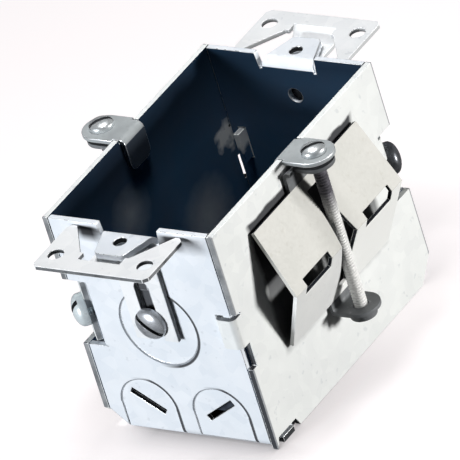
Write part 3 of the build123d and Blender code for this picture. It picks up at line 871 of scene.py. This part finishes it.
dressSheet("box_body", ("body", "edge", "shear", "slotDirt"), paintBody, shearLine=knockoutEdge)
for side in sides:
    grip, keep = side + "_grip_", nearFold(side)
    dressSheet(side + "_side_panel", ("panel", "panel", "panelEnd"), paintPanel)
    dressSheet(grip + "strap", ("strap", "edge"))
    dressSheet(grip + "collar", ("collar", "collar"), keepSharp=keep)
    dressSheet(grip + "upper_legs", ("grip", "grip", "gripShade"), paintLegs(side, 1), keep)
    dressSheet(grip + "lower_legs", ("gripPaintedLight", "gripPaintedLight", "gripShade"), paintLegs(side, -1), keep)
    dressSheet(grip + "foot", ("foot", "foot"), keepSharp=keep)
for end in ends:
    dressSheet(end + "_ear", ("ear", "ear", "rim", "slotDirt"), paintEar)
    dressSheet(end + "_clamp", ("clamp", "clamp"))
print("sheets dressed")

# Screws: a domed slotted head on a threaded shank
screwShape = {
    "sides": 48,
    "rim": 0.36,  # share of the head's height that stands straight
    "domeRows": 6,
    "domeTurn": math.radians(84),
    "slotWidth": 1.2 * mm,
    "slotDepth": 0.50,  # share of the head's height
    "slotBand": (0.2, 1.1),  # shares of the slot's depth between which it is dirty
    "slotSkin": 0.01 * mm,
    "edge": 0.10 * mm,
    "pitch": 25.4 / 32 * mm,
    "threadDepth": 0.40 * mm,
    "threadSteps": 24,
    "spareTurns": 3,  # wound past the ends and cut off
    "rootFlat": 0.12,  # shares of the pitch
    "crestFlat": 0.20,
    "flank": 0.34,
    "weld": 0.002 * mm,
    "sink": 0.3 * mm,  # how far the shank runs up into the head
    "topBand": 0.5 * mm,  # slice of the solid's head that gives its middle
}
screwKinds = {
    "gang": {"head": 8.6 * mm, "height": 3.6 * mm, "shank": 4.0 * mm, "slotTurn": 62},
    "ear": {"head": 8.6 * mm, "height": 2.4 * mm, "shank": 4.0 * mm, "slotTurn": -38},
    "clamp": {"head": 8.6 * mm, "height": 2.4 * mm, "shank": 4.0 * mm, "slotTurn": 15},
    "grip": {"head": 6.4 * mm, "height": 2.2 * mm, "shank": 3.5 * mm, "slotTurn": 50},
}
# painted shade on the far corner screw, painted light on the near one
gangLook = {"far": "screwPaintedShade", "near": "screwPaintedLight"}


def domeHead(radius, height):
    shape = screwShape
    rim = height * shape["rim"]
    pickNone()
    bpy.ops.mesh.primitive_cylinder_add(
        vertices=shape["sides"], radius=radius, depth=rim, location=(0, 0, rim / 2)
    )
    head = newest("screw_head")
    applyPlace(head)
    pickFaces(head, lambda face: face.normal.z > turned["straight"])
    wide, level = 1.0, rim
    for row in range(1, shape["domeRows"] + 1):
        turn = shape["domeTurn"] * row / shape["domeRows"]
        nextWide, nextLevel = math.cos(turn), rim + (height - rim) * math.sin(turn)
        pushOut((0, 0, nextLevel - level))
        scale = nextWide / wide
        bpy.ops.transform.resize(value=(scale, scale, 1), center_override=(0, 0, nextLevel))
        wide, level = nextWide, nextLevel
    closeEdit()
    return head


def cutSlot(head, radius, height, deep):
    pickNone()
    bpy.ops.mesh.primitive_cube_add(size=1, location=(0, 0, height))
    cutter = newest("slot_cutter")
    cutter.scale = (3 * radius, screwShape["slotWidth"], 2 * deep)  # right across, half of it above the head
    applyPlace(cutter)
    cut = head.modifiers.new("slot", "BOOLEAN")
    cut.object = cutter
    cut.operation = "DIFFERENCE"
    cut.solver = "EXACT"
    applyAll(head)
    bpy.data.objects.remove(cutter)


def makeHead(kind, look):
    shape = screwShape
    radius, height = kind["head"] / 2, kind["height"]
    slotDeep = height * shape["slotDepth"]
    head = domeHead(radius, height)
    cutSlot(head, radius, height, slotDeep)
    head.data.materials.clear()
    finishes = (look, "edge", "slotDirt")
    for finish in finishes:
        head.data.materials.append(looks[finish])
    # painted shade on the walls and floor of the screw's slot
    halfSlot = shape["slotWidth"] / 2 + shape["slotSkin"]
    for face in head.data.polygons:
        below = (height - face.center.z) / slotDeep
        if abs(face.center.y) < halfSlot and abs(face.center.x) < radius and within(below, shape["slotBand"]):
            face.material_index = finishes.index("slotDirt")
    openEdit(head, "EDGE")
    bpy.ops.mesh.select_all(action="DESELECT")
    bpy.ops.mesh.edges_select_sharp(sharpness=sheetEdge["sharp"])
    bpy.ops.mesh.bevel(offset=shape["edge"], segments=2, clamp_overlap=True, material=1)
    closeEdit()
    return head


def makeThread(kind, length, look):
    shape = screwShape
    pitch, rise = shape["pitch"], shape["threadDepth"]
    root = kind["shank"] / 2 - rise
    pickNone()
    bpy.ops.mesh.primitive_plane_add(size=pitch)
    thread = newest("screw_thread")
    # one turn's profile, drawn from a single point, then wound and cut to length
    openEdit(thread, "VERT")
    bpy.ops.mesh.select_all(action="SELECT")
    bpy.ops.mesh.merge(type="CENTER")
    bpy.ops.transform.translate(value=(root, 0, -length - 2 * pitch))
    profile = ((0, "rootFlat"), (rise, "flank"), (0, "crestFlat"), (-rise, "flank"))
    for across, share in profile:
        pushOut((across, 0, shape[share] * pitch))
    closeEdit()
    wind = thread.modifiers.new("wind", "SCREW")
    wind.axis = "Z"
    wind.angle = math.radians(360)
    wind.screw_offset = pitch
    wind.iterations = math.ceil(length / pitch) + shape["spareTurns"]
    wind.steps = wind.render_steps = shape["threadSteps"]
    wind.use_merge_vertices = True
    wind.merge_threshold = shape["weld"]
    applyAll(thread)
    openEdit(thread, "VERT")
    bpy.ops.mesh.select_all(action="SELECT")
    bpy.ops.mesh.remove_doubles(threshold=shape["weld"])
    for height, clear in ((shape["sink"], "clear_outer"), (-length, "clear_inner")):
        bpy.ops.mesh.select_all(action="SELECT")
        bpy.ops.mesh.bisect(plane_co=(0, 0, height), plane_no=(0, 0, 1), use_fill=True, **{clear: True})
    bpy.ops.mesh.select_all(action="SELECT")
    bpy.ops.mesh.normals_make_consistent(inside=False)
    closeEdit()
    thread.data.materials.append(looks[look])
    return thread


def screwReach(name, way):
    # the middle of the head's top, and the length from there to the tip
    points = [vert.co for vert in nodes[name].data.vertices]
    heights = [point.dot(way) for point in points]
    top, tip = max(heights), min(heights)
    rim = [point for point in points if point.dot(way) > top - screwShape["topBand"]]
    low = Vector([min(point[i] for point in rim) for i in range(3)])
    high = Vector([max(point[i] for point in rim) for i in range(3)])
    middle = (low + high) / 2
    return middle + way * (top - middle.dot(way)), top - tip


def placeScrew(name, kindName, way, headLook, threadLook):
    kind = screwKinds[kindName]
    way = Vector(way).normalized()
    top, length = screwReach(name, way)
    head = makeHead(kind, headLook)
    thread = makeThread(kind, length - kind["height"], threadLook)
    pickOnly(head)
    thread.select_set(True)
    bpy.ops.object.join()
    screw = newest(name + "_turned")
    pickOnly(screw)
    bpy.ops.object.shade_smooth_by_angle(angle=sheetEdge["smooth"])
    seat = top - way * kind["height"]
    turn = Matrix.Rotation(math.radians(kind["slotTurn"]), 4, "Z")
    screw.matrix_world = Matrix.Translation(seat) @ way.to_track_quat("Z", "Y").to_matrix().to_4x4() @ turn
    applyPlace(screw)
    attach(screw, bodyOf[name])
    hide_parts(name)


for end, sign in ends.items():
    placeScrew(end + "_gang_screw", "gang", (sign, sign, 0), gangLook[end], gangLook[end])
    placeScrew(end + "_ear_screw", "ear", (0, sign, 0), "screwGrey", "screwGrey")
    placeScrew(end + "_clamp_screw", "clamp", (0, 0, 1), "screw", "screw")
for side in sides:
    placeScrew(side + "_grip_screw", "grip", (0, 0, 1), "screw", "screwLong")
print("screws turned")

# Bends of the grips: the sheet between two leaves, in its shape at rest
bendShape = {"sheet": 1.1 * mm, "gap": 0.1 * mm, "rows": 10, "weld": 0.001 * mm}
fanRise = bendShape["sheet"] * math.sin(legLean)
halfGap = bendShape["gap"] / 2
# spans lie along the fold, in mm; way is that of the slanted leaf, up or down, and 0 at the nose between two
# such leaves; the bend turns between the heights from and to, above the fold
bendKinds = {
    "top_bend": {
        "fold": "top_fold", "bodies": ("box", "upper_legs"), "look": "collar",
        "spans": ((-7.0, 7.0),), "way": -1, "from": 0, "to": -fanRise,
    },
    "middle_bend": {
        "fold": "middle_fold", "bodies": ("upper_legs", "lower_legs"), "look": "grip",
        "spans": ((3.7, 8.4), (20.3, 25.2), (-8.4, -3.7), (-25.2, -20.3)), "way": 0,
        "from": halfGap, "to": -halfGap,
    },
    "foot_bend": {
        "fold": "foot_fold", "bodies": ("lower_legs", "foot"), "look": "foot",
        "spans": ((-5.0, 5.0),), "way": 1, "from": fanRise, "to": 0,
    },
}


def startStrip(name, inner, outer, span, height):
    first, last = (edge * mm for edge in span)
    pickNone()
    bpy.ops.mesh.primitive_plane_add(size=1, location=((inner + outer) / 2, (first + last) / 2, height))
    strip = newest(name)
    strip.scale = (outer - inner, last - first, 1)
    applyPlace(strip)
    openEdit(strip)
    bpy.ops.mesh.select_all(action="SELECT")
    return strip


def fanStrip(name, span, pivot, way):
    # a fan about the fold line, on a thin block that fills the gap to the upright leaf
    shape = bendShape
    strip = startStrip(name, pivot.x - shape["sheet"], pivot.x, span, pivot.z - way * shape["gap"])
    pushOut((0, 0, way * shape["gap"]))
    bpy.ops.mesh.spin(steps=shape["rows"], angle=way * legLean, center=pivot, axis=(0, -1, 0))
    bpy.ops.mesh.select_all(action="SELECT")
    bpy.ops.mesh.remove_doubles(threshold=shape["weld"])
    closeEdit()
    return strip


def noseStrip(name, span, pivot):
    # thin slices across the sheet, stacked in the gap at the inner edge of the fold
    shape = bendShape
    outer = pivot.x + shape["sheet"] / math.cos(legLean)
    strip = startStrip(name, pivot.x, outer, span, pivot.z + halfGap)
    for row in range(shape["rows"]):
        pushOut((0, 0, -shape["gap"] / shape["rows"]))
    closeEdit()
    return strip


def makeBend(name, plan, pivot):
    if plan["way"]:
        strips = [fanStrip(name, span, pivot, plan["way"]) for span in plan["spans"]]
    else:
        strips = [noseStrip(name, span, pivot) for span in plan["spans"]]
    pickOnly(strips[0])
    for strip in strips:
        strip.select_set(True)
    bpy.ops.object.join()
    bend = newest(name)
    openEdit(bend)
    bpy.ops.mesh.select_all(action="SELECT")
    bpy.ops.mesh.normals_make_consistent(inside=False)
    closeEdit()
    bend.data.materials.append(looks[plan["look"]])
    bpy.ops.object.shade_smooth_by_angle(angle=sheetEdge["smooth"])
    return bend


def blendBend(bend, side):
    turn = Matrix.Rotation(0 if side == "right" else math.pi, 4, "Z")
    bend.matrix_world = turn
    applyPlace(bend)
    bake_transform(bend)


for kind, plan in bendKinds.items():
    pivot = Vector(jointOf["right_grip_" + plan["fold"]]["pos_m"])
    bend = makeBend("right_grip_" + kind, plan, pivot)
    pickOnly(bend)
    bpy.ops.object.duplicate()
    twin = newest("left_grip_" + kind)
    blendBend(bend, "right")
    blendBend(twin, "left")
print("bends laid")

# Floor, seen as white paper, with the box's shadow from the lamps and a painted contact shadow in its glow; it
# throws little light back
floorLook = {
    "size": 6.0,
    "drop": 0.05 * mm,
    "paper": (0.40, 0.385, 0.387, 1),
    "bounce": (0.05, 0.05, 0.05, 1),
    "glow": 0.79,
    "glowTint": (1.0, 0.955, 0.965, 1),
    "mirror": 0.12,
    "reach": 20 * mm,  # of the painted shadow at the foot of the walls
    "nearEnd": 1.1,  # share of the glow that goes close to the near end
    "nearRight": 0.68,  # close to the near half of the right wall
    "aside": 0.15,  # and close to the other walls
    "endRun": 8 * mm,  # how far the near end's shadow runs along the walls, and out from the end
    "endFade": 9 * mm,
    "endFadeTo": 0.2,
    "endLeft": (-24 * mm, -12 * mm),
    "rightRun": (28 * mm, -16 * mm),
    "rightFrom": (0, 10 * mm),
}


def shadowShare(tree, place):
    f = floorLook
    across, along = axes(tree, place)[:2]
    nearEnd = product(
        tree,
        spread(tree, along, f["endRun"] - endFace, -endFace, 0, f["nearEnd"]),
        spread(tree, along, -f["endFade"] - endFace, -endFace, f["endFadeTo"], 1),
        spread(tree, across, *f["endLeft"]),
    )
    nearRight = spread(tree, along, *f["rightRun"], 0, f["nearRight"])
    nearRight = product(tree, nearRight, spread(tree, across, *f["rightFrom"]))
    return highest(tree, nearEnd, nearRight, f["aside"])


def paperLook():
    f = floorLook
    paper = bpy.data.materials.new("white_paper")
    paper.use_nodes = True
    tree = paper.node_tree
    tree.nodes.clear()
    place = tree.nodes.new("ShaderNodeTexCoord").outputs["Object"]
    rays = tree.nodes.new("ShaderNodeLightPath")
    seen = rays.outputs["Is Camera Ray"]
    matte = tree.nodes.new("ShaderNodeBsdfDiffuse")
    tree.links.new(mixTone(tree, seen, f["bounce"], f["paper"]), matte.inputs["Color"])
    # painted contact shadow: the glow is darkened where the walls hide the floor, most by the near end and the
    # right wall
    walls = tree.nodes.new("ShaderNodeAmbientOcclusion")
    walls.inputs["Distance"].default_value = f["reach"]
    hidden = product(tree, without(tree, walls.outputs["AO"]), shadowShare(tree, place))
    shine = product(tree, seen, without(tree, hidden), f["glow"])
    shine = sums(tree, "ADD", shine, product(tree, rays.outputs["Is Glossy Ray"], f["mirror"]))
    glow = tree.nodes.new("ShaderNodeEmission")
    glow.inputs["Color"].default_value = f["glowTint"]
    tree.links.new(shine, glow.inputs["Strength"])
    both = tree.nodes.new("ShaderNodeAddShader")
    tree.links.new(matte.outputs["BSDF"], both.inputs[0])
    tree.links.new(glow.outputs["Emission"], both.inputs[1])
    out = tree.nodes.new("ShaderNodeOutputMaterial")
    tree.links.new(both.outputs["Shader"], out.inputs["Surface"])
    return paper


pickNone()
bpy.ops.mesh.primitive_plane_add(size=floorLook["size"], location=(0, 0, cadLow.z - floorLook["drop"]))
floor = newest("paper_floor")
floor.data.materials.append(paperLook())
print("floor laid")

# World: white where it is seen, dimmer where it is mirrored or lights the box
worldLight = {"fill": 0.004, "mirror": 0.15, "tint": (0.94, 0.97, 1.0, 1)}
world = bpy.data.worlds.new("studio")
bpy.context.scene.world = world
world.use_nodes = True
tree = world.node_tree
background = tree.nodes["Background"]
background.inputs["Color"].default_value = worldLight["tint"]
rays = tree.nodes.new("ShaderNodeLightPath")
level = spread(tree, rays.outputs["Is Camera Ray"], 0, 1, worldLight["fill"], 1.0)
mirrored = product(tree, rays.outputs["Is Glossy Ray"], worldLight["mirror"])
tree.links.new(sums(tree, "ADD", level, mirrored), background.inputs["Strength"])

# Lamps: a low key from the far right, a wide front lamp from the left, a soft one overhead
lamps = {
    "key": {"from": (0.88, 0.40, 0.06), "away": 0.9, "size": 0.14, "watts": 8.5, "tint": (1, 0.99, 0.97)},
    "front": {"from": (-0.3, -0.93, 0.12), "away": 1, "size": 0.25, "watts": 10.7, "tint": (0.94, 0.97, 1)},
    "over": {"from": (0, 0.06, 1), "away": 0.25, "size": 0.07, "watts": 0.50, "tint": (1, 1, 1)},
}
aim = Vector((0, 0, 30 * mm))
for name, lamp in lamps.items():
    way = Vector(lamp["from"]).normalized()
    bpy.ops.object.light_add(type="AREA", location=aim + way * lamp["away"])
    light = newest(name + "_lamp")
    light.rotation_euler = way.to_track_quat("Z", "Y").to_euler()
    light.data.size = lamp["size"]
    light.data.energy = lamp["watts"]
    light.data.color = lamp["tint"]

# Camera: a long lens, high on the right, rolled as the box leans in the picture
shot = {
    "azimuth": 41.68,
    "elevation": 31.09,
    "roll": 17.64,
    "lens": 800,
    "sensor": 36,
    "frameWidth": 114.34 * mm,
    "right": -10.84 * mm,  # picture centre from the origin, along the picture's own axes
    "up": 29.55 * mm,
    "reach": 20,
}
az, el, roll = (math.radians(shot[key]) for key in ("azimuth", "elevation", "roll"))
toCamera = Vector((math.sin(az) * math.cos(el), -math.cos(az) * math.cos(el), math.sin(el)))
levelRight = Vector((math.cos(az), math.sin(az), 0))
levelUp = toCamera.cross(levelRight)
shotRight = levelRight * math.cos(roll) - levelUp * math.sin(roll)
shotUp = levelRight * math.sin(roll) + levelUp * math.cos(roll)
centre = shotRight * shot["right"] + shotUp * shot["up"]
bpy.ops.object.camera_add(location=centre + toCamera * shot["frameWidth"] * shot["lens"] / shot["sensor"])
camera = newest("picture_camera")
camera.rotation_euler = Matrix((shotRight, shotUp, toCamera)).transposed().to_euler()
camera.data.lens = shot["lens"]
camera.data.sensor_width = shot["sensor"]
camera.data.clip_end = shot["reach"]
bpy.context.scene.camera = camera
bpy.context.scene.view_settings.view_transform = "Standard"
print("camera and lamps set")
